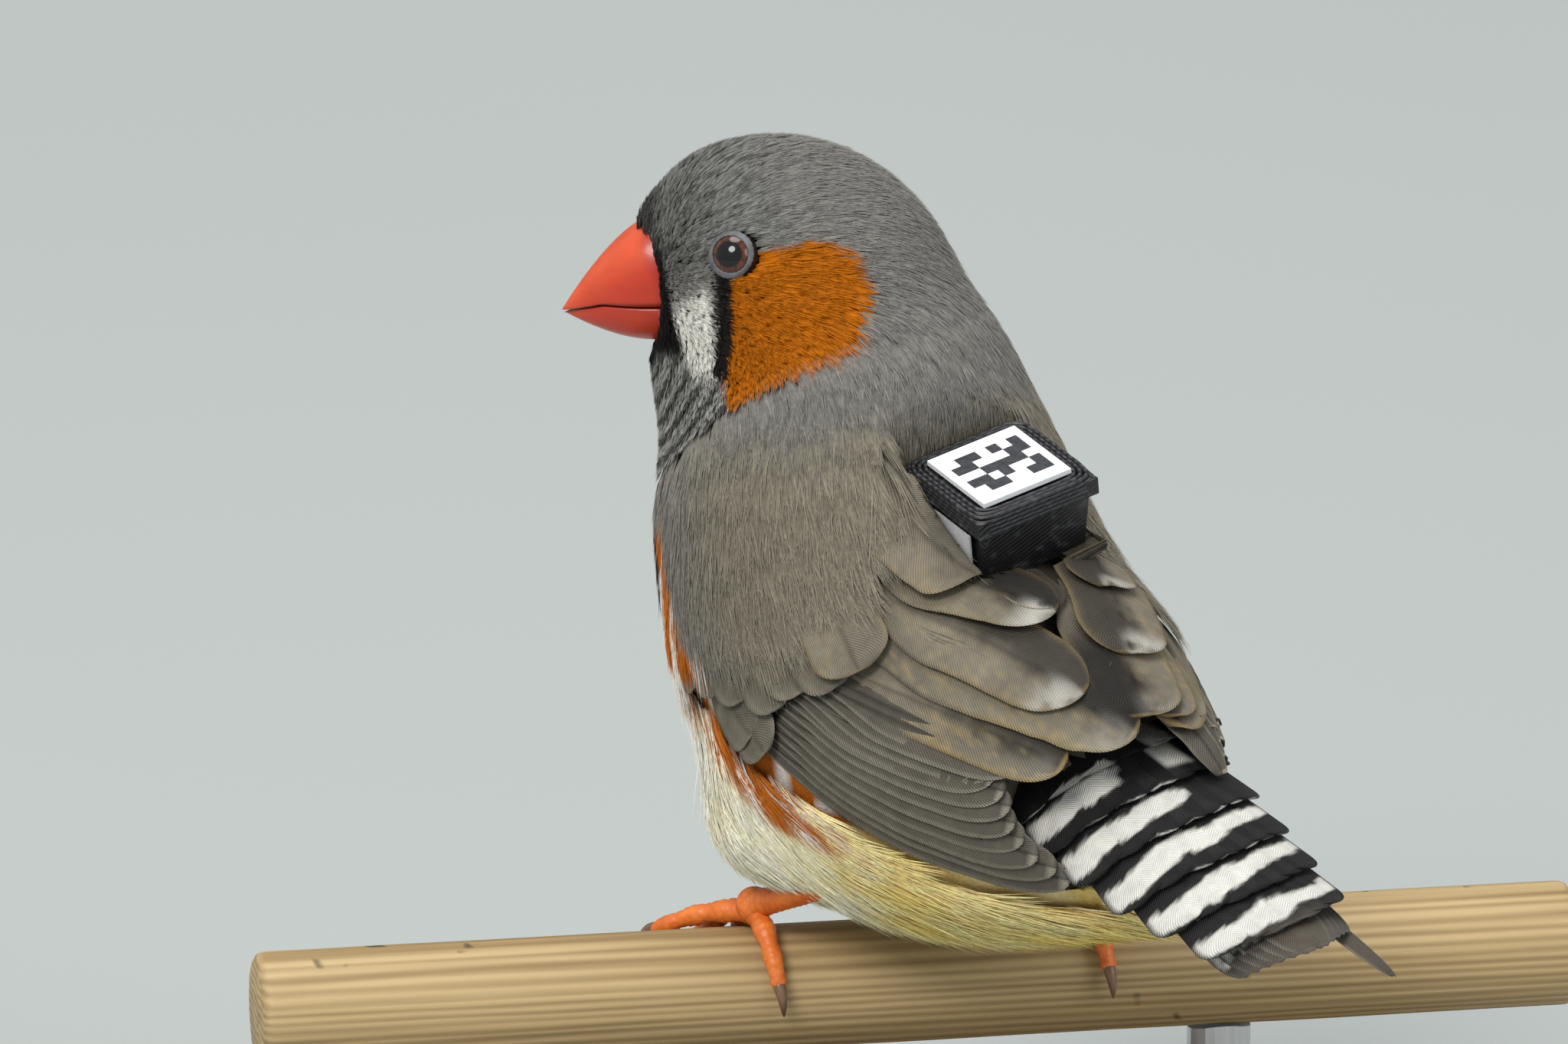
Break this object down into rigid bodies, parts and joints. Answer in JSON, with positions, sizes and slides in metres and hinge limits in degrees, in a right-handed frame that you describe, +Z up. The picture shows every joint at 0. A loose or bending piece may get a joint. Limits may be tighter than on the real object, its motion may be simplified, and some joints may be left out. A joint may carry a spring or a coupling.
{
  "type": "zebra finch model on a display stand",
  "caption": "Life-size still model of a male zebra finch with a tag on its back, gripping a short dowel perch held by a plain stand.",
  "frame": {"origin": "middle of the underside of the stand's base", "axes": "+Z up, the bird faces -Y, its left side is towards +X"},
  "size_m": [0.1042, 0.0966, 0.0935],
  "materials": {
    "plumage_head": "fine matt feathers, grey with an orange cheek patch",
    "plumage_neck": "fine matt feathers, brown grey with fine dark bars on the throat",
    "plumage_body": "soft matt feathers, grey brown above and cream below",
    "plumage_belly": "soft loose matt feathers, cream",
    "plumage_wing": "smooth matt vanes, grey brown with pale edges",
    "plumage_tail": "smooth matt vanes, black with white bars",
    "bill": "smooth horn, red orange, satin gloss",
    "eye": "wet gloss, dark red brown with a black pupil",
    "legs": "scaly skin, orange, low sheen",
    "tag_black": "printed in thin layers, black, satin",
    "tag_white": "white printed label with a plain black block pattern",
    "perch_wood": "bare pine, fine grain lines, matt",
    "stand_wood": "dark stained wood, satin varnish",
    "stand_metal": "brushed steel, satin"
  },
  "bodies": {
    "root": {"head": "plumage_head", "neck": "plumage_neck", "torso": "plumage_body", "thigh_left": "plumage_belly", "thigh_right": "plumage_belly", "tail": "plumage_tail", "wing_left": "plumage_wing", "wing_right": "plumage_wing", "bill_upper": "bill", "bill_lower": "bill", "eye_left": "eye", "eye_right": "eye", "shank_left": "legs", "shank_right": "legs", "foot_left": "legs", "foot_right": "legs", "tag_housing": "tag_black", "tag_plate": "tag_black", "tag_label": "tag_white", "perch": "perch_wood", "stand_base": "stand_wood", "stand_rod_a": "stand_metal", "stand_rod_b": "stand_metal"}
  },
  "joints": []
}
